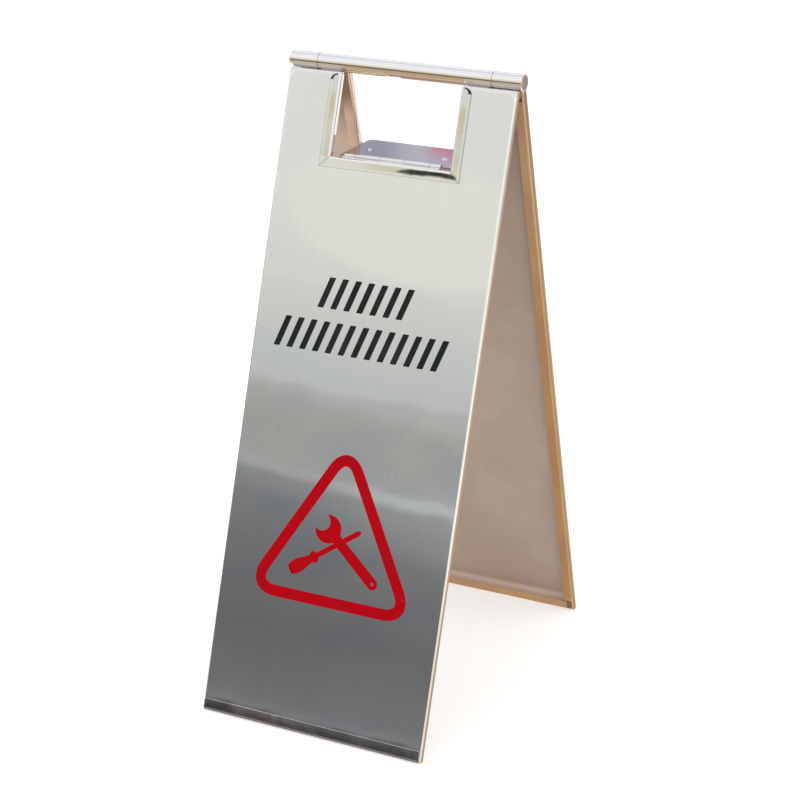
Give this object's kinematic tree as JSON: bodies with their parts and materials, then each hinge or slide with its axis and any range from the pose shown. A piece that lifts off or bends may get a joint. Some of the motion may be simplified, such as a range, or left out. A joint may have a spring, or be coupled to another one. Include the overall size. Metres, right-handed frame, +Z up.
{
  "type": "folding floor sign",
  "caption": "Folding two-leaf floor sign of folded stainless sheet, hinged on a tube that is its grip, with a hinged plate through the hand openings that locks the spread.",
  "frame": {"origin": "on the floor, midway between the two leaves and midway across the width", "axes": "+Z up, +X along the tube to the right as the front is seen, +Y from the front leaf to the rear leaf"},
  "size_m": [0.2354, 0.3786, 0.6003],
  "materials": {
    "brushed_sheet": "hairline brushed face, polished folds",
    "polished_trim": "mirror polished",
    "polished_tube": "mirror polished tube",
    "mirror_plate": "mirror polished sheet",
    "hinge_steel": "bright rolled hinge strip",
    "turned_pin": "fine turned",
    "weld_bead": "dull weld bead"
  },
  "bodies": {
    "front_leaf": {"front_panel": "brushed_sheet", "front_opening_trim_left": "polished_trim", "front_opening_trim_right": "polished_trim", "front_opening_trim_bottom": "polished_trim", "front_bottom_strip": "polished_trim", "front_bottom_strip_end_left": "polished_trim", "front_bottom_strip_end_right": "polished_trim", "grip_barrel": "polished_tube", "hinge_spigot_left": "turned_pin", "hinge_spigot_right": "turned_pin", "barrel_weld_left": "weld_bead", "barrel_weld_right": "weld_bead", "spreader_hinge_fixed_leaf": "hinge_steel", "spreader_hinge_pin": "turned_pin"},
    "rear_leaf": {"rear_panel": "brushed_sheet", "rear_opening_trim_left": "polished_trim", "rear_opening_trim_right": "polished_trim", "rear_opening_trim_bottom": "polished_trim", "rear_bottom_strip": "polished_trim", "rear_bottom_strip_end_left": "polished_trim", "rear_bottom_strip_end_right": "polished_trim", "end_knuckle_left": "polished_tube", "end_knuckle_right": "polished_tube", "end_plug_left": "polished_tube", "end_plug_right": "polished_tube", "knuckle_weld_left": "weld_bead", "knuckle_weld_right": "weld_bead"},
    "spreader": {"spreader_plate": "mirror_plate", "spreader_hinge_moving_leaf": "hinge_steel", "spreader_rivets": "hinge_steel"}
  },
  "joints": [
    {"name": "leaf_fold", "type": "hinge", "parent": "front_leaf", "child": "rear_leaf", "pos_m": [0, 0, 0.59234], "axis": [-1, 0, 0], "range_deg": [0, 34]},
    {"name": "spreader_fold", "type": "hinge", "parent": "front_leaf", "child": "spreader", "pos_m": [0, -0.02537, 0.51279], "axis": [1, 0, 0], "range_deg": [0, 71]}
  ]
}
